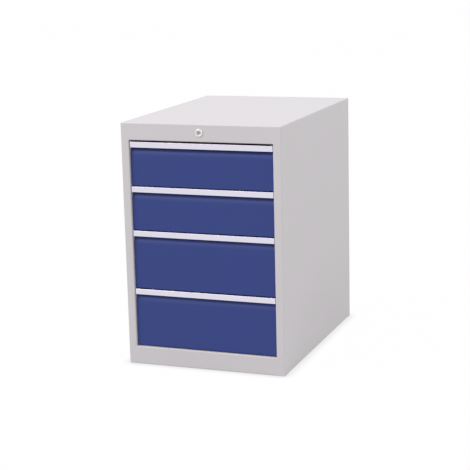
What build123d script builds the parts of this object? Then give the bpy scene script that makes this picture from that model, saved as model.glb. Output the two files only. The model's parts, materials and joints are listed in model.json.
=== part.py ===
from build123d import *
import math
import os

# Sheet-steel drawer cabinet, in millimetres. The origin is on the floor below its middle,
# +Z is up, the drawers face -Y and +X is to the right of someone who stands in front of it.

# Body
width = 500.0
depth = 700.0
sheet = 1.5
bend = 1.5
post_width = 25.0
jamb_depth = 30.0
rear_flange = 20.0
floor_flange = 25.0
rail_return = 25.0
return_lip = 10.0
fascia_height = 51.5
base_rail_height = 55.0
weld_gap = 0.3
rim_shy = 0.3
anchor_hole = 9.0
anchor_spacing = 420.0

# Drawers, from the top
shallow_drawer = 134.5
deep_drawer = 179.5
drawer_heights = (shallow_drawer, shallow_drawer, deep_drawer, deep_drawer)
fascia_gap = 5.5

# Drawer fronts and their grip strips
front_sheet = 1.2
front_recess = 8.0
front_return = 14.0
front_flange = 24.0
front_side_gap = 2.0
front_floor_gap = 2.0
grip_depth = 10.0
grip_drop = 18.0
grip_bend = 6.0
grip_crease = 24.0
strip_height = 17.0
strip_setback = 4.0
strip_wall = 2.0
strip_bead = 3.5
strip_leg = 14.0
strip_edge = 1.0

# Drawer trays
tray_sheet = 1.0
tray_rim = 9.0
tray_floor_gap = 10.0
tray_headroom = 26.0

# Ball runners
runner_thickness = 12.7
runner_height = 45.0
runner_sheet = 1.2
runner_lip = 5.0
runner_lift = 42.0
runner_front_gap = 2.0
runner_rear_room = 76.0
running_gap = 0.3
cage_sheet = 0.8
cage_gap = 0.6
cage_reach = 1.7
cage_length = 130.0
cage_end_gap = 10.0
ball = 5.0
ball_pitch = 90.0
ball_sides = 6
ball_rings = 3

# Slotted uprights and the runners' hooks
upright_width = 40.0
upright_gap = 2.0
hook_spacing = 24.0
hook_height = 6.0
hook_thickness = 3.0
hook_drop = 5.0
slot_gap = 0.5

# Cylinder lock
lock_drop = 24.0
collar = 22.0
collar_proud = 3.0
collar_bevel = 1.0
barrel = 19.0
barrel_length = 24.0
plug = 14.0
plug_sink = 0.6
plug_tail = 2.0
keyhole_width = 2.2
keyhole_height = 8.0
keyhole_depth = 14.0
nut = 26.0
nut_thickness = 4.0

# Lock rod, crank and locking bar
rod = 8.0
lock_lift = 14.0
crank_swing = 90.0
crank_thickness = 4.0
crank_rim = 4.0
crank_gap = 6.0
pin = 6.0
pin_room = 0.6
bar_width = 36.0
bar_thickness = 3.0
bar_back_gap = 14.0
bar_end = 12.0
finger_width = 12.0
finger_reach = 18.0
finger_height = 18.0
finger_gap = 3.0
catch_room = 30.0
catch_sheet = 2.0
catch_width = 28.0
catch_leg = 20.0
catch_lift = 50.0
catch_slot_gap = 4.0
catch_end_gap = 6.0
guide_height = 24.0
guide_wall = 6.0
guide_lift = 22.0
guide_drop = 60.0
bearing_gap = 20.0
bearing_width = 30.0
bearing_foot = 18.0

# Planes that the pieces share
side_x = width / 2
front_y = -depth / 2
rear_y = depth / 2
open_half = side_x - post_width
opening_top = base_rail_height + sum(drawer_heights) + fascia_gap
height = opening_top + fascia_height
rim = bend + sheet
body_top = height - rim
inner_half = side_x - sheet - bend - weld_gap
rear_face = rear_y - 2 * sheet
front_face = front_y + front_recess
tray_front = front_face + front_return
tray_half = open_half - runner_thickness
bar_rear = rear_face - bar_back_gap
bar_front = bar_rear - bar_thickness
tray_rear = bar_front - catch_room
finger_front = bar_front - finger_reach
rail_front = tray_front + runner_front_gap
rail_rear = rear_face - runner_rear_room
rail_middle = (rail_front + rail_rear) / 2
drawer_travel = rail_rear - rail_front - cage_length - 2 * cage_end_gap
front_upright = front_y + jamb_depth + upright_gap
rear_upright = rail_rear - upright_width - upright_gap
lock_z = height - lock_drop
crank_radius = lock_lift / 2 / math.sin(math.radians(crank_swing / 2))
pin_x = crank_radius * math.cos(math.radians(crank_swing / 2))
pin_z = lock_z - lock_lift / 2
crank_rear = bar_front - crank_gap
crank_front = crank_rear - crank_thickness
plug_rear = front_y + barrel_length + plug_tail
upper_guide_z = lock_z - guide_drop
lower_guide_z = base_rail_height + guide_lift


def cornered(path, radii, faceted):
    """Edges of a line whose corners are rounded, or cut straight across each bend where faceted."""
    if not faceted:
        return FilletPolyline(*path, radius=radii).edges()
    points = [path[0]]
    for before, corner, after, radius in zip(path, path[1:], path[2:], radii):
        back = (before - corner).normalized()
        ahead = (after - corner).normalized()
        setback = radius / math.tan(math.radians(back.get_angle(ahead)) / 2)
        points += [corner + back * setback, corner + ahead * setback]
    points.append(path[-1])
    return Polyline(*points).edges()


def folded(points, thickness, bends, faceted=False):
    """Section of a folded sheet: the points follow one face and the metal lies to their left."""
    path = [Vector(*point) for point in points]
    ways = [(b - a).normalized() for a, b in zip(path, path[1:])]
    lefts = [Vector(-way.Y, way.X) for way in ways]
    face_radii = []
    back_radii = []
    back = [path[0] + lefts[0] * thickness]
    for corner, before, after, radius in zip(path[1:-1], lefts, lefts[1:], bends):
        turns_left = before.cross(after).Z > 0
        face_radii.append(radius + thickness if turns_left else radius)
        back_radii.append(radius if turns_left else radius + thickness)
        back.append(corner + (before + after) * (thickness / (1 + before.dot(after))))
    back.append(path[-1] + lefts[-1] * thickness)
    edges = cornered(path, face_radii, faceted)
    edges += cornered(back, back_radii, faceted)
    edges += [Edge.make_line(path[0], back[0]), Edge.make_line(path[-1], back[-1])]
    return make_face(edges)


def body_fold(points):
    """Section of a folded body sheet, with the same bend at every corner."""
    return folded(points, sheet, [bend] * (len(points) - 2))


def along_x(section, start, end):
    """A section drawn in Y and Z, carried along X."""
    return extrude(Plane.YZ.offset(start) * section, amount=end - start, dir=(1, 0, 0))


def along_y(section, start, end):
    """A section drawn in X and Z, carried along Y."""
    return extrude(Pos(0, start, 0) * (Plane.XZ * section), amount=end - start, dir=(0, 1, 0))


def along_z(section, start, end):
    """A section drawn in X and Y, carried along Z."""
    return extrude(Pos(0, 0, start) * section, amount=end - start, dir=(0, 0, 1))


def block(x, y, z):
    """A box given by its limits along each axis."""
    size = Box(x[1] - x[0], y[1] - y[0], z[1] - z[0])
    return Pos(sum(x) / 2, sum(y) / 2, sum(z) / 2) * size


def bar_y(radius, x, z, start, end):
    """A round bar along Y."""
    return along_y(Pos(x, z) * Circle(radius), start, end)


def sided(part, side):
    """The right-hand part as drawn, or its mirror image for the left."""
    return part if side == "right" else mirror(part, about=Plane.YZ)


def side_panel():
    """Side sheet folded into the post and its jamb in front, and into flanges behind and below."""
    outside = [(side_x, front_y), (side_x, rear_y), (side_x - rear_flange, rear_y)]
    plain = body_fold([(open_half, front_y)] + outside)
    jamb = body_fold([(open_half, front_y + jamb_depth), (open_half, front_y)] + outside)
    panel = along_z(plain, 0, base_rail_height)
    panel += along_z(jamb, base_rail_height, opening_top)
    panel += along_z(plain, opening_top, body_top)
    start = front_y + rail_return + weld_gap
    end = rear_face - rail_return - weld_gap
    panel -= block((side_x - rim, side_x), (start, end), (0, rim))
    flange = [(side_x - floor_flange, 0), (side_x, 0), (side_x, floor_flange)]
    panel += along_y(body_fold(flange), start, end)
    return panel - anchor_holes()


def anchor_holes():
    """Bolt holes through the floor flanges and the base panel."""
    hole = Cylinder(anchor_hole / 2, 4 * sheet)
    x = side_x - floor_flange / 2
    y = anchor_spacing / 2
    return [Pos(i * x, j * y, sheet) * hole for i in (-1, 1) for j in (-1, 1)]


def top_panel():
    """Flat top with a rolled rim that meets the body flush."""
    outside = along_z(RectangleRounded(width, depth, rim), body_top, height)
    outside = fillet(outside.faces().sort_by(Axis.Z)[-1].edges(), rim - rim_shy)
    hollow = RectangleRounded(width - 2 * sheet, depth - 2 * sheet, bend)
    return outside - along_z(hollow, body_top, height - sheet)


def front_fascia():
    """Fascia between the posts, with a stiffening return below and the hole for the lock."""
    inner = front_y + jamb_depth
    section = body_fold([
        (front_y, body_top),
        (front_y, opening_top),
        (inner, opening_top),
        (inner, opening_top + return_lip),
    ])
    fascia = along_x(section, -open_half, open_half)
    return fascia - bar_y(barrel / 2 + running_gap, 0, lock_z, front_y - sheet, front_y + 2 * sheet)


def base_rail():
    """Rail below the drawers, with returns above and on the floor."""
    inner = front_y + rail_return
    section = body_fold([
        (inner, base_rail_height - return_lip),
        (inner, base_rail_height),
        (front_y, base_rail_height),
        (front_y, 0),
        (inner, 0),
    ])
    return along_x(section, -open_half, open_half)


def rear_panel():
    """Rear sheet in front of the side flanges, folded forward above and below."""
    face = rear_y - sheet
    inner = face - rail_return
    section = body_fold([(inner, 0), (face, 0), (face, height - sheet), (inner, height - sheet)])
    return along_x(section, -inner_half, inner_half)


def base_panel():
    """Floor sheet on the bottom flanges, with its front and rear edges turned up."""
    front = front_y + rim + weld_gap
    rear = rear_face - bend - weld_gap
    section = body_fold([(front, rim + return_lip), (front, sheet), (rear, sheet), (rear, rim + return_lip)])
    return along_x(section, -inner_half, inner_half) - anchor_holes()


def hook_levels():
    """Heights of the middle of every hook slot."""
    offsets = (-hook_spacing / 2, hook_spacing / 2)
    return [runner_z(index) + offset for index in range(len(drawer_heights)) for offset in offsets]


def upright(start):
    """Channel between the side and the runners, slotted for the runners' hooks."""
    wall = side_x - sheet
    end = start + upright_width
    corners = [(wall, end), (open_half, end), (open_half, start), (wall, start)]
    section = folded(corners, sheet, [bend] * 2, faceted=True)
    channel = along_z(section, 2 * sheet, opening_top)
    y = hook_span(start)
    wide = (y[0] - slot_gap, y[1] + slot_gap)
    across = (open_half - sheet, open_half + 2 * sheet)
    for level in hook_levels():
        channel -= block(across, wide, (level - hook_height / 2, level + hook_height / 2 + hook_drop))
    return channel


def hook_span(start):
    """Where the hooks lie along Y on an upright."""
    middle = start + upright_width / 2
    return (middle - hook_thickness / 2, middle + hook_thickness / 2)


def drawer_top(index):
    """Height of the top of a drawer's grip strip."""
    return opening_top - fascia_gap - sum(drawer_heights[:index])


def drawer_floor(index):
    """Height of the bottom of a drawer's share of the opening."""
    return drawer_top(index) - drawer_heights[index]


def runner_z(index):
    """Height of the middle of a drawer's runners."""
    return drawer_floor(index) + runner_lift


def cabinet_rail(index):
    """Outer runner member: a lipped channel that hooks into both uprights."""
    z = runner_z(index)
    top = z + runner_height / 2
    bottom = z - runner_height / 2
    mouth = open_half - rail_mouth()
    section = folded([
        (mouth, bottom + runner_lip),
        (mouth, bottom),
        (open_half, bottom),
        (open_half, top),
        (mouth, top),
        (mouth, top - runner_lip),
    ], runner_sheet, [bend] * 4, faceted=True)
    rail = along_y(section, rail_front, rail_rear)
    behind = open_half + sheet + running_gap
    for start in (front_upright, rear_upright):
        y = hook_span(start)
        for level in (z - hook_spacing / 2, z + hook_spacing / 2):
            low = level - hook_height / 2
            neck = (open_half - runner_sheet / 2, behind + hook_thickness)
            rail += block(neck, y, (low, low + hook_height))
            rail += block((behind, behind + hook_thickness), y, (low - hook_drop, low + hook_height))
    return rail


def ball_x():
    """Distance of the ball rows from the upright's face."""
    return runner_sheet + cage_gap + cage_sheet + running_gap + ball / 2


def rail_mouth():
    """Distance of the cabinet rail's lips from the upright's face."""
    return ball_x() + ball / 2 + cage_gap + runner_sheet


def ball_level():
    """Height of the ball rows above and below the middle of the runner."""
    return runner_height / 2 - runner_sheet - running_gap - ball / 2


def drawer_rail(index):
    """Inner runner member: a channel on the tray's side that rides on the balls."""
    z = runner_z(index)
    reach = ball_level() - ball / 2 - running_gap
    end = open_half - runner_sheet - 2 * cage_gap - cage_sheet
    section = folded([
        (end, z + reach),
        (tray_half, z + reach),
        (tray_half, z - reach),
        (end, z - reach),
    ], runner_sheet, [bend] * 2, faceted=True)
    return along_y(section, rail_front, rail_rear)


def ball_cage(index):
    """Channel-shaped cage with its two rows of balls, at the middle of the closed runner."""
    z = runner_z(index)
    web = open_half - runner_sheet - cage_gap
    end = open_half - ball_x() - cage_reach
    edge = ball_level() + cage_sheet / 2
    section = folded([
        (end, z - edge),
        (web, z - edge),
        (web, z + edge),
        (end, z + edge),
    ], cage_sheet, [cage_sheet / 2] * 2, faceted=True)
    cage = along_y(section, rail_middle - cage_length / 2, rail_middle + cage_length / 2)
    gaps = int((cage_length - 2 * ball) / ball_pitch)
    for step in range(gaps + 1):
        y = rail_middle + (step - gaps / 2) * ball_pitch
        for level in (z - ball_level(), z + ball_level()):
            cage += Pos(open_half - ball_x(), y, level) * bearing_ball()
    return cage


def bearing_ball():
    """Ball with flat facets: the hull of rings of corners that lie on its sphere."""
    corners = []
    for ring in range(ball_rings):
        polar = math.pi * (ring + 0.5) / ball_rings
        for step in range(ball_sides):
            turn = 2 * math.pi * step / ball_sides
            across = ball / 2 * math.sin(polar)
            corners.append((across * math.cos(turn), across * math.sin(turn), ball / 2 * math.cos(polar)))
    return ConvexPolyhedron(corners)


def drawer_tray(index):
    """Open box whose side walls turn outwards into rims above the runners."""
    bottom = drawer_floor(index) + tray_floor_gap
    top = drawer_top(index) - tray_headroom
    outside = block((-tray_half, tray_half), (tray_front, tray_rear), (bottom, top))
    outside = chamfer(outside.edges().filter_by(Axis.Y).group_by(Axis.Z)[0], bend + tray_sheet)
    inside = block(
        (tray_sheet - tray_half, tray_half - tray_sheet),
        (tray_front + tray_sheet, tray_rear - tray_sheet),
        (bottom + tray_sheet, top + tray_sheet),
    )
    inside = chamfer(inside.edges().filter_by(Axis.Y).group_by(Axis.Z)[0], bend)
    tray = outside - inside
    rim_x = (tray_half - tray_sheet, tray_half + tray_rim)
    tray_edge = block(rim_x, (tray_front, tray_rear), (top - tray_sheet, top))
    return tray + tray_edge + mirror(tray_edge, about=Plane.YZ)


def drawer_front(index):
    """Front whose top leans back behind the grip strip for fingers, flanged to the tray at its edges."""
    half = open_half - front_side_gap
    bottom = drawer_floor(index) + front_floor_gap
    top = drawer_top(index)
    lip = top - strip_height
    crease = lip - grip_drop
    recess = front_face + grip_depth
    section = folded([
        (recess, top - strip_wall),
        (recess, lip),
        (front_face, crease),
        (front_face, bottom),
        (tray_front, bottom),
    ], front_sheet, [grip_bend, grip_crease, bend])
    flange_y = (tray_front - front_sheet, tray_front)
    front = along_x(section, -half, half)
    front += block((-half, half), flange_y, (bottom, bottom + front_flange))
    cap = make_face(Polyline(
        (front_face + front_sheet / 2, bottom + bend),
        (front_face + bend, bottom),
        (tray_front, bottom),
        (tray_front, lip),
        (recess + front_sheet / 2, lip),
        (front_face + front_sheet, crease),
        close=True,
    ).edges())
    cap = along_x(cap, half - front_sheet, half)
    cap += block((half - front_flange, half), flange_y, (bottom, lip))
    return front + cap + mirror(cap, about=Plane.YZ)


def grip_strip(index):
    """Extruded handle: a beaded lip for the fingers, a flat top and a leg behind the front."""
    half = open_half - front_side_gap
    top = drawer_top(index)
    face = front_y + strip_setback
    leg = front_face + grip_depth + front_sheet
    inner = face + strip_wall
    outline = FilletPolyline(
        (face, top),
        (face, top - strip_height),
        (face + strip_bead, top - strip_height),
        (face + strip_bead, top - strip_height + strip_bead),
        (inner, top - strip_height + 2 * strip_bead),
        (inner, top - strip_wall),
        (leg, top - strip_wall),
        (leg, top - strip_leg),
        (leg + strip_wall, top - strip_leg),
        (leg + strip_wall, top),
        radius=[strip_edge, strip_edge, strip_edge, 0, 0, 0, 0, 0, 0, strip_edge],
        close=True,
    )
    return along_x(make_face(outline.edges()), -half, half)


def lock_catch(index):
    """Angle on the rear of a tray, with the slot that the locking bar's finger enters."""
    level = catch_level(index)
    half = catch_width / 2
    end = bar_front - catch_end_gap
    shelf = block((-half, half), (tray_rear, end), (level, level + catch_sheet))
    leg = block((-half, half), (tray_rear, tray_rear + catch_sheet), (level - catch_leg, level + catch_sheet))
    slot_half = finger_width / 2 + catch_slot_gap / 2
    slot_y = (finger_front - catch_slot_gap, finger_front + bar_thickness + catch_slot_gap)
    slot_z = (level - catch_sheet, level + 2 * catch_sheet)
    return shelf + leg - block((-slot_half, slot_half), slot_y, slot_z)


def catch_level(index):
    """Height of the underside of a drawer's lock catch."""
    return drawer_floor(index) + tray_floor_gap + catch_lift


def lock_housing():
    """Lock barrel with its collar on the face of the fascia."""
    collar_front = front_y - collar_proud
    ring = bar_y(collar / 2, 0, lock_z, collar_front, front_y)
    ring = chamfer(ring.edges().group_by(Axis.Y)[0], collar_bevel)
    shell = ring + bar_y(barrel / 2, 0, lock_z, front_y, front_y + barrel_length)
    bore = plug / 2 + running_gap
    return shell - bar_y(bore, 0, lock_z, collar_front - collar_bevel, front_y + 2 * barrel_length)


def lock_nut():
    """Hexagon nut that clamps the barrel to the fascia from behind."""
    start = front_y + sheet
    hexagon = RegularPolygon(nut / 2, 6) - Circle(barrel / 2 + running_gap)
    return along_y(Pos(0, lock_z) * hexagon, start, start + nut_thickness)


def lock_plug():
    """Turning core with an upright keyhole."""
    start = front_y - collar_proud + plug_sink
    core = bar_y(plug / 2, 0, lock_z, start, plug_rear)
    keyhole = SlotOverall(keyhole_height, keyhole_width, rotation=90)
    return core - along_y(Pos(0, lock_z) * keyhole, start, start + keyhole_depth)


def lock_crank():
    """Arm on the rod's end, with the pin that lifts the locking bar."""
    hub = Circle(rod / 2 + crank_rim)
    knuckle = Pos(pin_x, pin_z - lock_z) * Circle(pin / 2 + crank_rim)
    arm = along_y(Pos(0, lock_z) * make_hull((hub + knuckle).edges()), crank_front, crank_rear)
    return arm + bar_y(pin / 2, pin_x, pin_z, crank_rear, bar_rear + bar_thickness)


def rod_bearing():
    """Angle under the top panel that carries the rear of the lock rod."""
    half = bearing_width / 2
    rear = crank_front - bearing_gap
    top = height - sheet
    bottom = lock_z - half
    foot = block((-half, half), (rear - bearing_foot, rear), (top - sheet, top))
    plate = block((-half, half), (rear - sheet, rear), (bottom, top))
    return foot + plate - bar_y(rod / 2 + running_gap, 0, lock_z, rear - 2 * sheet, rear + sheet)


def locking_bar():
    """Flat bar with a bent finger for each drawer and a slot for the crank's pin."""
    half = bar_width / 2
    bottom = lower_guide_z - guide_height / 2 - lock_lift - guide_wall
    bar = block((-half, half), (bar_front, bar_rear), (bottom, pin_z + bar_end))
    room = pin / 2 + pin_room
    bar -= block(
        (pin_x - room, crank_radius + room),
        (bar_front - bar_thickness, bar_rear + bar_thickness),
        (pin_z - room, pin_z + room),
    )
    arm_half = finger_width / 2
    for index in range(len(drawer_heights)):
        tip = catch_level(index) - finger_gap
        low = tip - finger_height
        bar += block((-arm_half, arm_half), (finger_front, bar_front), (low, low + bar_thickness))
        bar += block((-arm_half, arm_half), (finger_front, finger_front + bar_thickness), (low, tip))
    return bar


def bar_guide(level):
    """Block on the rear panel that the locking bar slides through."""
    half = bar_width / 2 + running_gap
    z = (level - guide_height / 2, level + guide_height / 2)
    body = block((-half - guide_wall, half + guide_wall), (bar_front - guide_wall, rear_face), z)
    slot = block((-half, half), (bar_front - running_gap, bar_rear + running_gap), z)
    return body - slot


nodes = {
    "top_panel": top_panel(),
    "front_fascia": front_fascia(),
    "base_rail": base_rail(),
    "rear_panel": rear_panel(),
    "base_panel": base_panel(),
    "lock_housing": lock_housing(),
    "lock_nut": lock_nut(),
    "lock_plug": lock_plug(),
    "lock_rod": bar_y(rod / 2, 0, lock_z, plug_rear, crank_front),
    "lock_crank": lock_crank(),
    "rod_bearing": rod_bearing(),
    "locking_bar": locking_bar(),
    "upper_bar_guide": bar_guide(upper_guide_z),
    "lower_bar_guide": bar_guide(lower_guide_z),
}

for side in ("left", "right"):
    nodes[side + "_side_panel"] = sided(side_panel(), side)
    nodes["front_" + side + "_upright"] = sided(upright(front_upright), side)
    nodes["rear_" + side + "_upright"] = sided(upright(rear_upright), side)

for index in range(len(drawer_heights)):
    drawer = "drawer_" + str(index + 1)
    nodes[drawer + "_tray"] = drawer_tray(index)
    nodes[drawer + "_front"] = drawer_front(index)
    nodes[drawer + "_grip_strip"] = grip_strip(index)
    nodes[drawer + "_lock_catch"] = lock_catch(index)
    for side in ("left", "right"):
        nodes[drawer + "_" + side + "_cabinet_rail"] = sided(cabinet_rail(index), side)
        nodes[drawer + "_" + side + "_drawer_rail"] = sided(drawer_rail(index), side)
        nodes[drawer + "_" + side + "_ball_cage"] = sided(ball_cage(index), side)

os.makedirs("parts", exist_ok=True)
for name, part in nodes.items():
    export_step(part, "parts/" + name + ".step")

print(len(nodes), "pieces,", round(height, 1), "mm high, drawers open by", round(drawer_travel, 1), "mm")
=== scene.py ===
"""Finishes, lock, runners, fasteners and studio of a four-drawer sheet-steel cabinet."""

import json
import math

import bmesh
import bpy
import numpy as np
from bpy.props import FloatProperty, FloatVectorProperty, IntProperty, PointerProperty
from mathutils import Matrix, Vector

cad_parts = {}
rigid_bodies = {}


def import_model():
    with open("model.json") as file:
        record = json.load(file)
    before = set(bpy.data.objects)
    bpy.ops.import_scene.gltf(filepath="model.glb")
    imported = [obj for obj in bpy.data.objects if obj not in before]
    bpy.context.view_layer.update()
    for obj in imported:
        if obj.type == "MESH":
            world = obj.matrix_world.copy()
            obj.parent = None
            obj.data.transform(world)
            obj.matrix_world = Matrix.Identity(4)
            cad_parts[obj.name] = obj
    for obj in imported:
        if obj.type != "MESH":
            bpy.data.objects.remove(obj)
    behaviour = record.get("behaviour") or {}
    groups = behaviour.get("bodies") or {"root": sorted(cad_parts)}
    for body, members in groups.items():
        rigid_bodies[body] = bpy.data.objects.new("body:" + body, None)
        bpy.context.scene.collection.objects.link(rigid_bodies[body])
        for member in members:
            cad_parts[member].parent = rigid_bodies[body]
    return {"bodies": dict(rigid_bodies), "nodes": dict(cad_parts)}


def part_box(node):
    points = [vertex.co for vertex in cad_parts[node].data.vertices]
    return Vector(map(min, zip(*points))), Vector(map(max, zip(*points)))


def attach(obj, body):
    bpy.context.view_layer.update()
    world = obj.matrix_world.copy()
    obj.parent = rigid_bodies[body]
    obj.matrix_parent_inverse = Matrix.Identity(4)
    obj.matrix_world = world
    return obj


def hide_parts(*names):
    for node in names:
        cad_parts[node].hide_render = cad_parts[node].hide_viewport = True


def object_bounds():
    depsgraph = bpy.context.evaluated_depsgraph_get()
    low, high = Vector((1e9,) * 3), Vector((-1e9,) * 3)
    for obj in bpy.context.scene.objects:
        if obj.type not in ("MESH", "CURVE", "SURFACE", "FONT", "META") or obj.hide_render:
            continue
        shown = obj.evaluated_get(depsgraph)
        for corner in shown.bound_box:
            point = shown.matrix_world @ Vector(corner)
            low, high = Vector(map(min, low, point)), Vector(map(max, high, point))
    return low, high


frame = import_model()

bl_info = {
    "name": "Drawer Cabinet Dressing",
    "version": (1, 0, 0),
    "blender": (4, 5, 0),
    "location": "View3D > Sidebar > Cabinet",
    "description": "Finishes, lock, runners, fasteners and studio of a sheet-steel drawer cabinet",
    "category": "Object",
}

CAD_BOX = [list(corner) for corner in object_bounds()]
DRAWERS = [
    name for name in frame["bodies"] if name.startswith("drawer_") and not name.endswith("_cages")
]
SIDES = ("left", "right")
TO_FRONT = (0, -1, 0)
TO_REAR = (0, 1, 0)
UP = (0, 0, 1)
WHITE = (1, 1, 1)
SHARP_ANGLE = math.radians(35)
MERGE_DISTANCE = 1e-6

# Facets of the small turned and folded pieces
LIP_STEPS = 5
ROLL_STEPS = 9
THREAD_ROWS = 6
FOLD_STEPS = 6
RIVET_SIDES = 20
SCREW_SIDES = 48
BALL_SIDES = 18
BALL_RINGS = 11

# Steps of a rivet's dome in degrees
DOME_DEGREES = (0, 12, 28, 48, 66)

# Powers that round the keyhole's ends and flatten its sides
KEYHOLE_ENDS = 0.7
KEYHOLE_SIDES = 0.4

# Keeps the outline of a screw's recess from running off along its arms
LEAST_SLANT = 1e-3

# Patterns of the finishes, in waves per metre
DRIFT_WAVES = 7.0
SHEEN_WAVES = 12.0
CLOUD_WAVES = 55.0
HAZE_WAVES = 420.0
ROLLING_WAVES = 900.0
WEAR_WAVES = 900.0
GRAIN_WAVES = 1800.0

# Heights of those patterns in metres
LINE_HEIGHT = 0.000006
ROLLING_HEIGHT = 0.000008
HAZE_HEIGHT = 0.000004
WEAR_HEIGHT = 0.00002
GRAIN_HEIGHT = 0.00003

# How the patterns are stretched and mixed, and the zinc's warmer patches
LINE_STRETCH = 0.004
ROLLING_STRETCH = 0.05
FLECKS_PER_PEEL = 4
DRIFT_SHARE = 0.7
LINE_SHARE = 0.6
ZINC_WARMTH = (1, 0.98, 0.95)

# Rays that find the painted shadow line at the cabinet's foot
CONTACT_SAMPLES = 16


def screen(red, green, blue):
    """Linear colour of an 8-bit screen colour, by the standard curve of screens."""
    value = np.array((red, green, blue)) / 255
    return np.where(value <= 0.04045, value / 12.92, ((value + 0.055) / 1.055) ** 2.4).tolist()


def length(name, description, default):
    """A size in metres."""
    return FloatProperty(
        name=name, description=description, default=default, min=0, precision=5, unit="LENGTH"
    )


def share(name, description, default):
    """A share from nothing to all."""
    return FloatProperty(
        name=name, description=description, default=default, min=0, max=1, subtype="FACTOR"
    )


def level(name, description, default):
    """A light level, where 1 shows a colour as it is written."""
    return FloatProperty(name=name, description=description, default=default, min=0)


def angle(name, description, degrees):
    """An angle, given in degrees."""
    return FloatProperty(
        name=name, description=description, default=math.radians(degrees), subtype="ANGLE"
    )


def number(name, description, default, least):
    """A number of like things."""
    return IntProperty(name=name, description=description, default=default, min=least)


def heading(name, description, default):
    """A direction, of any length."""
    return FloatVectorProperty(name=name, description=description, default=default, subtype="DIRECTION")


def colour(name, description, default):
    """A colour, given as it shows on a screen."""
    return FloatVectorProperty(
        name=name, description=description, default=screen(*default), min=0, max=1, subtype="COLOR"
    )


class CabinetPaint(bpy.types.PropertyGroup):
    """Powder coats of the body, the trays and the drawer fronts."""

    body: colour("Body", "Light grey of the body", (199, 195, 198))
    trays: colour("Trays", "Light grey inside the drawers", (196, 193, 197))
    fronts: colour("Fronts", "Blue of the drawer fronts", (32, 52, 121))
    roughness: share("Roughness", "How dull the powder coat is", 0.54)
    peel: length("Orange peel", "Size of the waves in the powder coat", 0.0016)
    peel_height: length("Peel height", "Height of the waves in the powder coat", 0.00003)
    mottle: share("Mottle", "How much the tone drifts over a panel", 0.03)


class CabinetMetal(bpy.types.PropertyGroup):
    """Bare metals and the plastic of the guides."""

    strips: colour("Grip strips", "Satin anodised aluminium", (227, 223, 236))
    zinc: colour("Zinc", "Bright zinc plating of the runners and the lock's works", (196, 196, 201))
    balls: colour("Balls", "Polished bearing steel", (214, 215, 218))
    nickel: colour("Nickel", "Nickel plating of the lock", (244, 241, 239))
    # The core's tone is the collar's nickel made darker: partly its own finish, partly painted shade
    # for the lock's darker middle.
    core: colour("Lock core", "Turned face of the lock's core", (192, 189, 187))
    # The keyway colour is painted shade: it darkens the inside of the keyhole to stand for its shadow.
    keyway: colour("Keyway", "Oiled metal down the keyhole", (52, 48, 46))
    plastic: colour("Guides", "Black nylon of the bar guides", (34, 34, 36))
    strip_roughness: share("Strip roughness", "How dull the grip strips are", 0.36)
    zinc_roughness: share("Zinc roughness", "How dull the zinc plating is", 0.3)
    ball_roughness: share("Ball roughness", "How dull the bearing balls are", 0.12)
    nickel_roughness: share("Nickel roughness", "How dull the lock's collar is", 0.22)
    core_roughness: share("Core roughness", "How dull the lock's core is", 0.3)
    keyway_roughness: share("Keyway roughness", "How dull the keyhole's inside is", 0.7)
    plastic_roughness: share("Guide roughness", "How dull the bar guides are", 0.5)
    draw_line: length("Draw line", "Spacing of the fine lines along the grip strips", 0.0005)


class CabinetLock(bpy.types.PropertyGroup):
    """Cylinder lock in the fascia."""

    barrel: length("Barrel", "Diameter of the threaded barrel", 0.019)
    roll: length("Roll", "Radius of the collar's rolled edge", 0.0012)
    lip: length("Lip", "Radius of the collar's inner lip", 0.0004)
    bore_gap: length("Bore gap", "Room around the turning core", 0.0003)
    pitch: length("Thread pitch", "Pitch of the barrel's thread", 0.001)
    thread: length("Thread depth", "Depth of the barrel's thread", 0.0005)
    keyhole_height: length("Keyhole height", "Height of the keyhole", 0.008)
    keyhole_width: length("Keyhole width", "Width of the keyhole", 0.0022)
    keyhole_depth: length("Keyhole depth", "Depth of the keyhole", 0.014)
    ward: length("Ward", "How far the keyway's wards step sideways", 0.00045)
    bevel: length("Core bevel", "Bevel of the turning core's edge", 0.0004)
    sides: number("Sides", "Facets around the lock", 96, 12)


class CabinetRunners(bpy.types.PropertyGroup):
    """Ball cages between the runner members."""

    ball: length("Ball", "Diameter of a bearing ball", 0.005)
    pitch: length("Ball pitch", "Spacing of the balls along a cage", 0.011)
    row_inset: length("Row inset", "From the cabinet rail's edge to the balls' middle", 0.004)
    ball_reach: length("Ball reach", "How far the balls stand out past the cage's edges", 0.0008)
    sheet: length("Cage sheet", "Thickness of the cage", 0.0008)
    bend: length("Cage bend", "Radius of the cage's folds", 0.0012)


class CabinetFasteners(bpy.types.PropertyGroup):
    """Rivets and screws."""

    rivet: length("Rivet head", "Diameter of a rivet's head", 0.0066)
    rivet_height: length("Rivet height", "Height of a rivet's head", 0.0011)
    pin: length("Rivet pin", "Diameter of the broken pin in a rivet's head", 0.002)
    screw: length("Screw head", "Diameter of a screw's head", 0.0076)
    screw_height: length("Screw height", "Height of a screw's head", 0.0016)
    cross: length("Cross", "Length of the recess across a screw's head", 0.0044)
    cross_width: length("Cross width", "Width of each arm of that recess", 0.0011)
    tray_sheet: length("Tray sheet", "Thickness of the drawer trays", 0.001)
    runner_sheet: length("Runner sheet", "Thickness of the runners", 0.0012)
    flange_middle: length("Flange middle", "From a panel's edge to the row of fasteners", 0.01)
    catch_inset: length("Catch inset", "From the ends of a lock catch to its rivets", 0.006)
    end_inset: length("End inset", "From the end of a runner to its first rivet", 0.06)
    runner_rivets: number("Runner rivets", "Rivets along each runner", 3, 2)
    rear_inset: length("Rear inset", "From the rear panel's ends to its first rivets", 0.04)
    rear_rivets: number("Rear rivets", "Rivets down each side of the rear", 6, 2)


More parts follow.
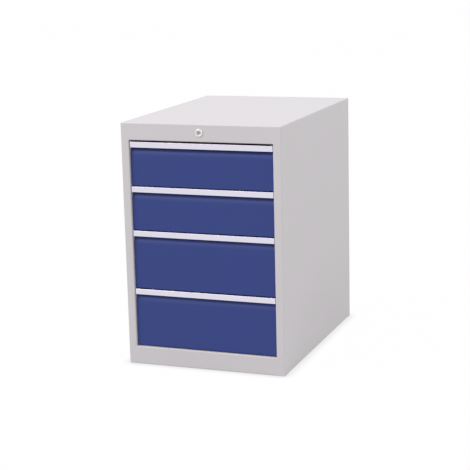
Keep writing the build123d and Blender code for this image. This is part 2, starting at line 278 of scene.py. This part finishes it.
class CabinetStudio(bpy.types.PropertyGroup):
    """Camera, lamps and floor."""

    azimuth: angle("Azimuth", "Turn of the view to the cabinet's right", 20.733)
    elevation: angle("Elevation", "Height of the view above level", 12.233)
    roll: angle("Roll", "Tilt of the picture", -1.424)
    distance: length("Distance", "From the camera to the point it looks at", 4.3513)
    target: FloatVectorProperty(
        name="Target",
        description="Point that the camera looks at",
        default=(-0.0097, -0.05, 0.3492),
        unit="LENGTH",
    )
    lens: FloatProperty(name="Lens", description="Focal length in millimetres", default=105.75, min=1)
    ambient: level("Ambient", "Light from all around", 0.88)
    key: level("Key", "Light from above on the left", 0.47)
    key_from: heading("Key from", "Where the light on the left comes from", (-1.2, -1.0, 1.6))
    fill: level("Fill", "Light from above on the right", 0.21)
    fill_from: heading("Fill from", "Where the light on the right comes from", (1.0, 0.0, 0.9))
    lamp_size: length("Lamp size", "Width of each lamp", 8.0)
    lamp_distance: length("Lamp distance", "From the cabinet to each lamp", 18.0)
    floor: colour("Floor", "Pale floor under the cabinet", (195, 195, 195))
    floor_size: length("Floor size", "Width of the floor", 40.0)
    # contact and contact_depth shape a painted shadow: the floor's glow darkens where the cabinet is
    # close.
    contact: length("Contact", "Reach of the dark line where the cabinet meets the floor", 0.032)
    contact_depth: share("Contact depth", "How dark that line gets", 0.38)
    shade: share("Shade", "How much of the cast shadow the floor shows", 0.01)


class Wire:
    """A socket of a shader tree; arithmetic on it adds Math nodes."""

    def __init__(self, tree, socket=None):
        self.tree = tree
        self.socket = socket

    def node(self, kind, settings=None, inputs=None, output=0):
        """Add a node, set it up, feed its sockets with values or wires and return an output."""
        node = self.tree.nodes.new(kind)
        for name, value in (settings or {}).items():
            setattr(node, name, value)
        for name, value in (inputs or {}).items():
            target = node.inputs[name]
            if isinstance(value, Wire):
                self.tree.links.new(value.socket, target)
            elif target.type == "RGBA":
                target.default_value = (*value, 1)
            else:
                target.default_value = value
        return Wire(self.tree, node.outputs[output] if node.outputs else None)

    def math(self, operation, *values, clamp=False):
        """Add a Math node."""
        settings = {"operation": operation, "use_clamp": clamp}
        return self.node("ShaderNodeMath", settings, dict(enumerate(values)))

    def __add__(self, other):
        return self.math("ADD", self, other)

    __radd__ = __add__

    def __sub__(self, other):
        return self.math("SUBTRACT", self, other)

    def __mul__(self, other):
        return self.math("MULTIPLY", self, other)

    def noise(self, scale, detail=2.0, stretch=(1, 1, 1)):
        """Noise over the object's own coordinates, in waves per metre, stretched along each axis."""
        where = self.node("ShaderNodeTexCoord", output="Object")
        where = self.node("ShaderNodeMapping", inputs={"Vector": where, "Scale": stretch})
        inputs = {"Vector": where, "Scale": scale, "Detail": detail}
        return self.node("ShaderNodeTexNoise", None, inputs)

    def blend(self, factor, first, second):
        """A colour between two colours."""
        settings = {"data_type": "RGBA"}
        return self.node("ShaderNodeMix", settings, {0: factor, 6: first, 7: second}, output=2)

    def tint(self, pattern, tone, dark, light):
        """A tone that a pattern from 0 to 1 takes from its dark factor to its light one."""
        return self.blend(pattern, toned(tone, dark), toned(tone, light))

    def bump(self, height, distance):
        """A normal that follows a height from 0 to 1 over a distance in metres."""
        inputs = {"Strength": 1.0, "Distance": distance, "Height": height}
        return self.node("ShaderNodeBump", None, inputs)


def toned(tone, factor):
    """A colour made lighter or darker by a factor."""
    return [min(1.0, value * factor) for value in tone]


def new_material(name):
    """An empty material, and the wire that starts its tree."""
    material = bpy.data.materials.new(name)
    material.use_nodes = True
    material.node_tree.nodes.clear()
    return material, Wire(material.node_tree)


def finish(wire, inputs):
    """End a tree in a Principled shader with the given sockets."""
    surface = wire.node("ShaderNodeBsdfPrincipled", None, inputs)
    wire.node("ShaderNodeOutputMaterial", None, {"Surface": surface})


def varied(middle, *patterns):
    """A value that patterns from 0 to 1 move about its middle, each by its own spread."""
    for pattern, spread in patterns:
        middle = middle + (pattern - 0.5) * spread
    return middle


def powder_coat(name, tone, paint):
    """Baked powder paint: fine orange peel, a slow drift of tone and slightly duller patches."""
    material, wire = new_material(name)
    peel = wire.noise(1 / paint.peel, detail=1.0)
    drift = wire.noise(DRIFT_WAVES, detail=3.0)
    fleck = wire.noise(FLECKS_PER_PEEL / paint.peel, detail=0.0)
    mix = drift * DRIFT_SHARE + fleck * (1 - DRIFT_SHARE)
    finish(wire, {
        "Base Color": wire.tint(mix, tone, dark=1 - paint.mottle, light=1 + paint.mottle),
        "Roughness": varied(paint.roughness, (drift, 0.08), (peel, 0.06)),
        "Normal": wire.bump(peel, paint.peel_height),
    })
    return material


def drawn_aluminium(name, metal):
    """Satin anodised extrusion: fine lines along X, and a faint drift of sheen."""
    material, wire = new_material(name)
    lines = wire.noise(1 / metal.draw_line, detail=2.0, stretch=(LINE_STRETCH, 1, 1))
    drift = wire.noise(SHEEN_WAVES, detail=2.0)
    mix = lines * LINE_SHARE + drift * (1 - LINE_SHARE)
    finish(wire, {
        "Base Color": wire.tint(mix, metal.strips, dark=0.95, light=1.05),
        "Metallic": 1.0,
        "Roughness": varied(metal.strip_roughness, (lines, 0.16), (drift, 0.06)),
        "Normal": wire.bump(lines, LINE_HEIGHT),
    })
    return material


def zinc_plate(name, metal):
    """Bright zinc plating: cloudy patches of colour and sheen over fine rolling marks."""
    material, wire = new_material(name)
    cloud = wire.noise(CLOUD_WAVES, detail=4.0)
    marks = wire.noise(ROLLING_WAVES, detail=1.0, stretch=(1, ROLLING_STRETCH, 1))
    warm = [value * part for value, part in zip(metal.zinc, ZINC_WARMTH)]
    finish(wire, {
        "Base Color": wire.blend(cloud, toned(warm, 0.9), toned(metal.zinc, 1.06)),
        "Metallic": 1.0,
        "Roughness": varied(metal.zinc_roughness, (cloud, 0.2), (marks, 0.1)),
        "Normal": wire.bump(marks, ROLLING_HEIGHT),
    })
    return material


def polished_metal(name, tone, roughness):
    """Polished metal with a faint haze of handling marks."""
    material, wire = new_material(name)
    haze = wire.noise(HAZE_WAVES, detail=3.0)
    finish(wire, {
        "Base Color": wire.tint(haze, tone, dark=0.95, light=1.03),
        "Metallic": 1.0,
        "Roughness": varied(roughness, (haze, 0.12)),
        "Normal": wire.bump(haze, HAZE_HEIGHT),
    })
    return material


def keyhole_shade_paint(name, metal):
    """Painted shade down a keyhole: a dark, rough, mottled material that stands for the shadow inside
    it.
    """
    material, wire = new_material(name)
    wear = wire.noise(WEAR_WAVES, detail=3.0)
    finish(wire, {
        "Base Color": wire.tint(wear, metal.keyway, dark=0.75, light=1.25),
        "Roughness": varied(metal.keyway_roughness, (wear, 0.3)),
        "Normal": wire.bump(wear, WEAR_HEIGHT),
    })
    return material


def moulded_nylon(name, metal):
    """Black moulded plastic with a fine eroded texture."""
    material, wire = new_material(name)
    grain = wire.noise(GRAIN_WAVES, detail=2.0)
    finish(wire, {
        "Base Color": wire.tint(grain, metal.plastic, dark=0.8, light=1.25),
        "Roughness": varied(metal.plastic_roughness, (grain, 0.2)),
        "Normal": wire.bump(grain, GRAIN_HEIGHT),
    })
    return material


def material_once(name, make, *details):
    """The material of that name, made the first time it is asked for."""
    return bpy.data.materials.get(name) or make(name, *details)


def coat(material, *names):
    """Give a finish to CAD nodes."""
    for name in names:
        for slot in frame["nodes"][name].material_slots:
            slot.material = material


def stacked(*axes):
    """Points from the values along each axis, where one value can serve for all."""
    return np.stack(np.broadcast_arrays(*axes), axis=-1)


def full_turn(sides):
    """Angles of the corners around a full turn."""
    return np.linspace(0, 2 * np.pi, sides, endpoint=False)


def grid_faces(rows, columns):
    """Quads of a grid of points that is open along its rows and closed round its columns."""
    row, column = np.meshgrid(np.arange(rows - 1), np.arange(columns), indexing="ij")
    start = row * columns
    after = (column + 1) % columns
    above = start + columns
    return stacked(start + column, start + after, above + after, above + column).reshape(-1, 4)


def turned(profile, sides):
    """Surface of revolution: each (radius, height) becomes (radius cos t, radius sin t, height)."""
    radius, height = np.array(profile, float).T[:, :, None]
    turn = full_turn(sides)
    points = stacked(radius * np.cos(turn), radius * np.sin(turn), height)
    return points.reshape(-1, 3), grid_faces(len(profile), sides)


def arc(centre, radius, start, end, steps):
    """Points of an arc in a profile: centre plus radius times (cos a, sin a), with a in degrees."""
    turn = np.radians(np.linspace(start, end, steps))
    return stacked(centre[0] + radius * np.cos(turn), centre[1] + radius * np.sin(turn)).tolist()


def facing(axis):
    """Rows of the turn that takes local Z to an axis of the frame."""
    ahead = np.array(axis, float)
    across = np.roll(ahead, 1)
    return np.stack([across, np.cross(ahead, across), ahead])


def placed(shape, axis, places):
    """Copies of a shape whose local Z is turned to the axis, one at each place."""
    points, faces = shape
    points = points @ facing(axis)
    places = np.array(places, float).reshape(-1, 1, 3)
    shifts = np.arange(len(places)).reshape(-1, 1, 1) * len(points)
    return (places + points).reshape(-1, 3), (faces + shifts).reshape(-1, faces.shape[1])


def add_piece(name, body, parts):
    """One object at the origin from parts of (points, faces, material), riding on a body."""
    counts = np.cumsum([0] + [len(points) for points, faces, material in parts])
    points = np.concatenate([part[0] for part in parts])
    faces = np.concatenate([part[1] + count for part, count in zip(parts, counts)])
    materials = list(dict.fromkeys(part[2] for part in parts))
    owner = np.concatenate([np.full(len(part[1]), materials.index(part[2])) for part in parts])
    mesh = bpy.data.meshes.new(name)
    mesh.from_pydata(points.tolist(), [], faces.tolist())
    for material in materials:
        mesh.materials.append(material)
    mesh.polygons.foreach_set("material_index", owner.astype(np.int32))
    shell = bmesh.new()
    shell.from_mesh(mesh)
    bmesh.ops.remove_doubles(shell, verts=shell.verts, dist=MERGE_DISTANCE)
    bmesh.ops.recalc_face_normals(shell, faces=shell.faces)
    shell.to_mesh(mesh)
    shell.free()
    mesh.polygons.foreach_set("use_smooth", np.ones(len(mesh.polygons), bool))
    mesh.set_sharp_from_angle(angle=SHARP_ANGLE)
    piece = bpy.data.objects.new(name, mesh)
    bpy.context.scene.collection.objects.link(piece)
    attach(piece, body)
    return piece


def lock_collar(lock, low, high, bore):
    """Collar and threaded barrel: a turned profile whose barrel radius falls by the thread's depth
    times a triangle wave of (height / pitch - turn)."""
    radius = (high.x - low.x) / 2
    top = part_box("front_fascia")[0].y - low.y
    barrel = lock.barrel / 2
    length_behind = low.y - high.y + top
    profile = [(bore, length_behind), (bore, top - lock.lip)]
    profile += arc((bore + lock.lip, top - lock.lip), lock.lip, 180, 90, LIP_STEPS)
    profile += arc((radius - lock.roll, top - lock.roll), lock.roll, 90, 0, ROLL_STEPS)
    profile += [(radius, 0), (barrel, 0)]
    rows = int(-length_behind / lock.pitch * THREAD_ROWS)
    profile += [(barrel, height) for height in np.linspace(0, length_behind, rows)]
    profile += [(bore, length_behind)]
    points, faces = turned(profile, lock.sides)
    rings = points.reshape(len(profile), lock.sides, 3)
    turn = np.linspace(0, 1, lock.sides, endpoint=False)
    wave = 2 * np.abs((rings[:, :, 2] / lock.pitch - turn) % 1 - 0.5)
    start = len(profile) - 1 - rows
    cut = np.zeros(rings.shape[:2])
    cut[start + 1:start + rows - 1] = (lock.thread * wave)[start + 1:start + rows - 1]
    rings[:, :, :2] *= (1 - cut / np.hypot(rings[:, :, 0], rings[:, :, 1]))[:, :, None]
    return rings.reshape(-1, 3), faces


def keyhole(lock, turn):
    """Outline of the keyhole: a rounded slot whose two sides step sideways together at the wards."""
    half = lock.keyhole_height / 2
    up = half * np.sign(np.sin(turn)) * np.abs(np.sin(turn)) ** KEYHOLE_ENDS
    side = lock.keyhole_width / 2 * np.sign(np.cos(turn)) * np.abs(np.cos(turn)) ** KEYHOLE_SIDES
    return side + lock.ward * np.sin(2 * np.pi * up / half), up


def lock_core(lock, low, high):
    """Turning core: rings that go from its rear to its face, then in to the keyhole and down it."""
    radius = (high.x - low.x) / 2
    long = high.y - low.y
    turn = full_turn(lock.sides)
    side, up = keyhole(lock, turn)
    round_x, round_y = np.cos(turn), np.sin(turn)
    closed = (0 * turn, 0 * turn)
    rim = radius - lock.bevel
    rings = [
        (*closed, -long),
        (radius * round_x, radius * round_y, -long),
        (radius * round_x, radius * round_y, -lock.bevel),
        (rim * round_x, rim * round_y, 0),
        (side, up, 0),
        (side, up, -lock.keyhole_depth),
        (*closed, -lock.keyhole_depth),
    ]
    points = np.stack([stacked(*ring) for ring in rings])
    return points.reshape(-1, 3), grid_faces(len(rings), lock.sides)


def rivet_head(fasteners):
    """Domed head with the end of its pin sunk in the middle: a turned profile."""
    radius = fasteners.rivet / 2
    pin = fasteners.pin / 2
    high = fasteners.rivet_height
    dome = [(radius * math.cos(a), high * math.sin(a)) for a in np.radians(DOME_DEGREES)]
    sunk = [(pin, high), (pin, high * 0.45), (pin * 0.6, high * 0.62), (0, high * 0.62)]
    return turned(dome + sunk, RIVET_SIDES)


def screw_head(fasteners):
    """Pan head with a cross recess, whose outline is the lesser of the cross's half length and the
    half width of an arm over the lesser of |sin t| and |cos t|."""
    turn = full_turn(SCREW_SIDES)
    slant = np.maximum(np.minimum(np.abs(np.sin(turn)), np.abs(np.cos(turn))), LEAST_SLANT)
    cross = np.minimum(fasteners.cross / 2, fasteners.cross_width / 2 / slant)
    radius = fasteners.screw / 2
    high = fasteners.screw_height
    rings = [
        (radius, 0),
        (radius, high * 0.45),
        (radius * 0.95, high * 0.72),
        (radius * 0.82, high * 0.92),
        (radius * 0.66, high),
        (cross, high),
        (cross * 0.8, high * 0.35),
        (0 * cross, high * 0.3),
    ]
    points = [stacked(r * np.cos(turn), r * np.sin(turn), h) for r, h in rings]
    return np.concatenate(points), grid_faces(len(rings), SCREW_SIDES)


def cage_strip(runners, x, z, y):
    """Folded cage: a channel section, offset by the sheet for its inner face, carried along Y."""
    bend = runners.bend
    near = bend - runners.sheet
    step = math.copysign(1, x[1] - x[0])
    corners = [(x[1] - step * bend, z[0] + bend, 270), (x[1] - step * bend, z[1] - bend, 0)]
    outside, inside = [(x[0], z[0])], [(x[0], z[0] + runners.sheet)]
    for centre_x, centre_z, start in corners:
        for a in np.radians(np.linspace(start, start + 90, FOLD_STEPS)):
            way = (step * math.cos(a), math.sin(a))
            outside.append((centre_x + bend * way[0], centre_z + bend * way[1]))
            inside.append((centre_x + near * way[0], centre_z + near * way[1]))
    outside.append((x[0], z[1]))
    inside.append((x[0], z[1] - runners.sheet))
    section = np.array(outside + inside[::-1])
    count = len(section)
    ends = [np.column_stack([section[:, 0], np.full(count, end), section[:, 1]]) for end in y]
    half = count // 2
    index = np.arange(half - 1)
    cap = np.stack([index, index + 1, count - 2 - index, count - 1 - index], axis=-1)
    return np.concatenate(ends), np.concatenate([grid_faces(2, count), cap, cap + count])


def bearing_ball(runners):
    """Ball: (r cos a cos t, r cos a sin t, r sin a)."""
    return turned(arc((0, 0), runners.ball / 2, -90, 90, BALL_RINGS), BALL_SIDES)


class CABINET_OT_body(bpy.types.Operator):
    """Powder-coat the panels of the body"""

    bl_idname = "cabinet.body"
    bl_label = "Body Finish"

    def execute(self, context):
        paint = context.scene.cabinet_paint
        grey = material_once("body_powder_coat", powder_coat, paint.body, paint)
        panels = ("top_panel", "front_fascia", "base_rail", "rear_panel", "base_panel")
        coat(grey, *panels, *(side + "_side_panel" for side in SIDES))
        return {"FINISHED"}


class CABINET_OT_fronts(bpy.types.Operator):
    """Powder-coat the drawer fronts and anodise their grip strips"""

    bl_idname = "cabinet.fronts"
    bl_label = "Drawer Fronts"

    def execute(self, context):
        paint = context.scene.cabinet_paint
        blue = material_once("front_powder_coat", powder_coat, paint.fronts, paint)
        satin = material_once("strip_aluminium", drawn_aluminium, context.scene.cabinet_metal)
        coat(blue, *(drawer + "_front" for drawer in DRAWERS))
        coat(satin, *(drawer + "_grip_strip" for drawer in DRAWERS))
        return {"FINISHED"}


class CABINET_OT_trays(bpy.types.Operator):
    """Powder-coat the drawer trays"""

    bl_idname = "cabinet.trays"
    bl_label = "Drawer Trays"

    def execute(self, context):
        paint = context.scene.cabinet_paint
        grey = material_once("tray_powder_coat", powder_coat, paint.trays, paint)
        coat(grey, *(drawer + "_tray" for drawer in DRAWERS))
        return {"FINISHED"}


class CABINET_OT_steelwork(bpy.types.Operator):
    """Plate the uprights, the runners and the works of the lock, and colour the bar guides"""

    bl_idname = "cabinet.steelwork"
    bl_label = "Steelwork"

    def execute(self, context):
        metal = context.scene.cabinet_metal
        zinc = material_once("zinc_plate", zinc_plate, metal)
        coat(zinc, "locking_bar", "lock_rod", "lock_crank", "lock_nut", "rod_bearing")
        coat(zinc, *(drawer + "_lock_catch" for drawer in DRAWERS))
        for side in SIDES:
            coat(zinc, "front_" + side + "_upright", "rear_" + side + "_upright")
            for drawer in DRAWERS:
                coat(zinc, drawer + "_" + side + "_cabinet_rail", drawer + "_" + side + "_drawer_rail")
        coat(material_once("guide_nylon", moulded_nylon, metal), "upper_bar_guide", "lower_bar_guide")
        return {"FINISHED"}


class CABINET_OT_lock(bpy.types.Operator):
    """Make the lock's collar with its threaded barrel, and its turning core with the keyhole"""

    bl_idname = "cabinet.lock"
    bl_label = "Lock"

    def execute(self, context):
        lock = context.scene.cabinet_lock
        metal = context.scene.cabinet_metal
        nickel = material_once("lock_nickel", polished_metal, metal.nickel, metal.nickel_roughness)
        # The core takes a darker copy of the polished nickel, partly as painted shade.
        bright = material_once("lock_core_nickel", polished_metal, metal.core, metal.core_roughness)
        # dark is the painted shade that lines the keyhole.
        dark = material_once("lock_keyway", keyhole_shade_paint, metal)
        low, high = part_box("lock_housing")
        core_low, core_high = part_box("lock_plug")
        middle_z = (low.z + high.z) / 2
        bore = (core_high.x - core_low.x) / 2 + lock.bore_gap
        seat = (0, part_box("front_fascia")[0].y, middle_z)
        shape = placed(lock_collar(lock, low, high, bore), TO_FRONT, seat)
        collar = add_piece("lock_collar", "cabinet", [(*shape, nickel)])
        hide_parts("lock_housing")
        face = (0, core_low.y, middle_z)
        points, faces = placed(lock_core(lock, core_low, core_high), TO_FRONT, face)
        # The last two rings of faces line the keyhole; they take the painted shade that stands for its
        # shadow.
        hole = 2 * lock.sides
        parts = [(points, faces[:-hole], bright), (points, faces[-hole:], dark)]
        core = add_piece("lock_cylinder", "lock_core", parts)
        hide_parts("lock_plug")
        return {"FINISHED"}


class CABINET_OT_runners(bpy.types.Operator):
    """Make the ball cages of the runners, with round balls in their two rows"""

    bl_idname = "cabinet.runners"
    bl_label = "Ball Cages"

    def execute(self, context):
        runners = context.scene.cabinet_runners
        metal = context.scene.cabinet_metal
        zinc = material_once("zinc_plate", zinc_plate, metal)
        bright = material_once("ball_steel", polished_metal, metal.balls, metal.ball_roughness)
        ball = bearing_ball(runners)
        for drawer in DRAWERS:
            for side in SIDES:
                node = drawer + "_" + side + "_ball_cage"
                low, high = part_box(node)
                rail_low, rail_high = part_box(drawer + "_" + side + "_cabinet_rail")
                rows = (rail_low.z + runners.row_inset, rail_high.z - runners.row_inset)
                near, web = (high.x, low.x) if side == "left" else (low.x, high.x)
                middle_x = near + math.copysign(runners.ball / 2, web - near)
                edge = near + math.copysign(runners.ball_reach, web - near)
                half = runners.sheet / 2
                height = (rows[0] - half, rows[1] + half)
                strip = cage_strip(runners, (edge, web), height, (low.y, high.y))
                count = int((high.y - low.y - runners.ball) / runners.pitch) + 1
                along = (low.y + high.y) / 2 + (np.arange(count) - (count - 1) / 2) * runners.pitch
                places = [(middle_x, y, z) for z in rows for y in along]
                parts = [(*strip, zinc), (*placed(ball, UP, places), bright)]
                name = drawer + "_" + side + "_bearing"
                cage = add_piece(name, drawer + "_cages", parts)
                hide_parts(node)
        return {"FINISHED"}


class CABINET_OT_drawer_fasteners(bpy.types.Operator):
    """Rivet the runners and the lock catches to the trays, and screw the fronts on"""

    bl_idname = "cabinet.drawer_fasteners"
    bl_label = "Drawer Fasteners"

    def execute(self, context):
        fasteners = context.scene.cabinet_fasteners
        zinc = material_once("zinc_plate", zinc_plate, context.scene.cabinet_metal)
        rivet = rivet_head(fasteners)
        screw = screw_head(fasteners)
        for drawer in DRAWERS:
            tray_low, tray_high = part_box(drawer + "_tray")
            parts = []
            for side, outward in zip(SIDES, (-1, 1)):
                low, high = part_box(drawer + "_" + side + "_drawer_rail")
                wall = low.x if side == "right" else high.x
                first = low.y + fasteners.end_inset
                last = high.y - fasteners.end_inset
                rows = np.linspace(first, last, fasteners.runner_rivets)
                middle = (low.z + high.z) / 2
                inner = wall - outward * fasteners.tray_sheet
                outer = wall + outward * fasteners.runner_sheet
                parts.append(placed(rivet, (-outward, 0, 0), [(inner, y, middle) for y in rows]))
                parts.append(placed(rivet, (outward, 0, 0), [(outer, y, middle) for y in rows]))
            low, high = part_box(drawer + "_lock_catch")
            spread = (high.x - low.x) / 2 - fasteners.catch_inset
            level_z = low.z + fasteners.flange_middle
            inner = tray_high.y - fasteners.tray_sheet
            places = [(x, inner, level_z) for x in (-spread, spread)]
            parts.append(placed(rivet, TO_FRONT, places))
            parts = [(*part, zinc) for part in parts]
            add_piece(drawer + "_rivets", drawer, parts)
            wall = tray_low.y + fasteners.tray_sheet
            rail_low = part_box(drawer + "_right_drawer_rail")[0]
            edge = rail_low.x - fasteners.flange_middle
            foot = tray_low.z + fasteners.flange_middle
            heights = (foot + fasteners.flange_middle, tray_high.z - 2 * fasteners.flange_middle)
            places = [(x, wall, z) for x in (-edge, edge) for z in heights]
            places += [(x, wall, foot) for x in (-edge / 2, edge / 2)]
            screws = [(*placed(screw, TO_REAR, places), zinc)]
            add_piece(drawer + "_front_screws", drawer, screws)
        return {"FINISHED"}


class CABINET_OT_body_fasteners(bpy.types.Operator):
    """Rivet the rear panel to the side flanges, and screw the bar guides to it"""

    bl_idname = "cabinet.body_fasteners"
    bl_label = "Body Fasteners"

    def execute(self, context):
        fasteners = context.scene.cabinet_fasteners
        paint = context.scene.cabinet_paint
        grey = material_once("body_powder_coat", powder_coat, paint.body, paint)
        zinc = material_once("zinc_plate", zinc_plate, context.scene.cabinet_metal)
        low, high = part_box("right_side_panel")
        first = low.z + fasteners.rear_inset
        last = high.z - fasteners.rear_inset
        rows = np.linspace(first, last, fasteners.rear_rivets)
        row_x = high.x - fasteners.flange_middle
        places = [(x, high.y, z) for x in (-row_x, row_x) for z in rows]
        rivets = placed(rivet_head(fasteners), TO_REAR, places)
        add_piece("rear_rivets", "cabinet", [(*rivets, grey)])
        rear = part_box("rear_panel")[1].y
        places = []
        for guide in ("upper_bar_guide", "lower_bar_guide"):
            low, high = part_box(guide)
            spread = high.x - fasteners.screw / 2
            places += [(x, rear, (low.z + high.z) / 2) for x in (-spread, spread)]
        screws = placed(screw_head(fasteners), TO_REAR, places)
        add_piece("guide_screws", "cabinet", [(*screws, zinc)])
        return {"FINISHED"}


def seen_rays(wire):
    """1 for rays that come from the camera, a shiny surface or glass, and 0 for the rest."""
    kinds = ("Camera", "Glossy", "Transmission")
    rays = [wire.node("ShaderNodeLightPath", output=f"Is {kind} Ray") for kind in kinds]
    return wire.math("ADD", rays[0] + rays[1], rays[2], clamp=True)


def studio_floor(studio):
    """Pale floor that looks white, with a painted shadow line at the cabinet's foot and a share of its
    real cast shadow.
    """
    half = studio.floor_size / 2
    mesh = bpy.data.meshes.new("studio_floor")
    corners = [(-half, -half, 0), (half, -half, 0), (half, half, 0), (-half, half, 0)]
    mesh.from_pydata(corners, [], [(0, 1, 2, 3)])
    floor = bpy.data.objects.new("studio_floor", mesh)
    bpy.context.scene.collection.objects.link(floor)
    material, wire = new_material("floor_sweep")
    settings = {"samples": CONTACT_SAMPLES}
    reach = {"Distance": studio.contact}
    # Painted shade: the glow that the camera sees darkens where occlusion finds the cabinet near,
    # standing for its contact shadow.
    open_sky = wire.node("ShaderNodeAmbientOcclusion", settings, reach, output="AO")
    dark = toned(WHITE, 1 - studio.contact_depth)
    glow = wire.node("ShaderNodeEmission", None, {"Color": wire.blend(open_sky, dark, WHITE)})
    pale = wire.node("ShaderNodeBsdfDiffuse", None, {"Color": studio.floor})
    shown = wire.node("ShaderNodeMixShader", None, {0: studio.shade, 1: glow, 2: pale})
    surface = wire.node("ShaderNodeMixShader", None, {0: seen_rays(wire), 1: pale, 2: shown})
    wire.node("ShaderNodeOutputMaterial", None, {"Surface": surface})
    mesh.materials.append(material)


def studio_world(studio):
    """Even light from all around that looks white to the camera and in reflections."""
    world = bpy.data.worlds.new("studio_world")
    bpy.context.scene.world = world
    world.use_nodes = True
    world.node_tree.nodes.clear()
    wire = Wire(world.node_tree)
    around = wire.node("ShaderNodeBackground", None, {"Color": WHITE, "Strength": studio.ambient})
    white = wire.node("ShaderNodeBackground", None, {"Color": WHITE, "Strength": 1.0})
    surface = wire.node("ShaderNodeMixShader", None, {0: seen_rays(wire), 1: around, 2: white})
    wire.node("ShaderNodeOutputWorld", None, {"Surface": surface})


def studio_lamp(name, studio, direction, strength):
    """Square soft lamp that faces the cabinet's middle from a direction. At strength 1, its light alone
    makes a white face that is turned to it show white."""
    lamp = bpy.data.lights.new(name, "AREA")
    lamp.size = studio.lamp_size
    lamp.energy = strength * (math.pi * studio.lamp_distance) ** 2
    holder = bpy.data.objects.new(name, lamp)
    back = Vector(direction).normalized()
    middle = (Vector(CAD_BOX[0]) + Vector(CAD_BOX[1])) / 2
    holder.location = middle + back * studio.lamp_distance
    holder.rotation_euler = back.to_track_quat("Z", "Y").to_euler()
    bpy.context.scene.collection.objects.link(holder)


def studio_camera(studio):
    """Camera at the photograph's viewing angle."""
    flat = math.cos(studio.elevation)
    back_x = math.sin(studio.azimuth) * flat
    back_y = -math.cos(studio.azimuth) * flat
    back = Vector((back_x, back_y, math.sin(studio.elevation)))
    right = Vector(UP).cross(back).normalized()
    up = back.cross(right)
    turn = Matrix((right, up, back)).transposed().to_4x4() @ Matrix.Rotation(studio.roll, 4, "Z")
    lens = bpy.data.cameras.new("photo_camera")
    lens.lens = studio.lens
    camera = bpy.data.objects.new("photo_camera", lens)
    camera.matrix_world = Matrix.Translation(Vector(studio.target) + back * studio.distance) @ turn
    bpy.context.scene.collection.objects.link(camera)
    bpy.context.scene.camera = camera


class CABINET_OT_stage(bpy.types.Operator):
    """Set up the floor, the light and the camera"""

    bl_idname = "cabinet.stage"
    bl_label = "Stage"

    def execute(self, context):
        studio = context.scene.cabinet_studio
        context.scene.view_settings.view_transform = "Standard"
        studio_floor(studio)
        studio_world(studio)
        studio_lamp("key_lamp", studio, studio.key_from, studio.key)
        studio_lamp("fill_lamp", studio, studio.fill_from, studio.fill)
        studio_camera(studio)
        return {"FINISHED"}


PIECES = (
    CABINET_OT_body,
    CABINET_OT_fronts,
    CABINET_OT_trays,
    CABINET_OT_steelwork,
    CABINET_OT_lock,
    CABINET_OT_runners,
    CABINET_OT_drawer_fasteners,
    CABINET_OT_body_fasteners,
    CABINET_OT_stage,
)
SETTINGS = {
    "cabinet_paint": CabinetPaint,
    "cabinet_metal": CabinetMetal,
    "cabinet_lock": CabinetLock,
    "cabinet_runners": CabinetRunners,
    "cabinet_fasteners": CabinetFasteners,
    "cabinet_studio": CabinetStudio,
}


class CABINET_PT_sidebar(bpy.types.Panel):
    """Settings and steps of the cabinet's dressing"""

    bl_idname = "CABINET_PT_sidebar"
    bl_label = "Drawer Cabinet"
    bl_space_type = "VIEW_3D"
    bl_region_type = "UI"
    bl_category = "Cabinet"

    def draw(self, context):
        for piece in PIECES:
            self.layout.operator(piece.bl_idname)
        for name, group in SETTINGS.items():
            box = self.layout.box()
            box.label(text=group.__doc__)
            for setting in group.__annotations__:
                box.prop(getattr(context.scene, name), setting)


def register():
    for group in SETTINGS.values():
        bpy.utils.register_class(group)
    for piece in PIECES:
        bpy.utils.register_class(piece)
    bpy.utils.register_class(CABINET_PT_sidebar)
    for name, group in SETTINGS.items():
        setattr(bpy.types.Scene, name, PointerProperty(type=group))


def unregister():
    for name in SETTINGS:
        delattr(bpy.types.Scene, name)
    for kind in (CABINET_PT_sidebar, *PIECES, *SETTINGS.values()):
        bpy.utils.unregister_class(kind)


def main():
    register()
    bpy.ops.cabinet.body()
    bpy.ops.cabinet.fronts()
    bpy.ops.cabinet.trays()
    bpy.ops.cabinet.steelwork()
    bpy.ops.cabinet.lock()
    bpy.ops.cabinet.runners()
    bpy.ops.cabinet.drawer_fasteners()
    bpy.ops.cabinet.body_fasteners()
    bpy.ops.cabinet.stage()


if __name__ == "__main__":
    main()
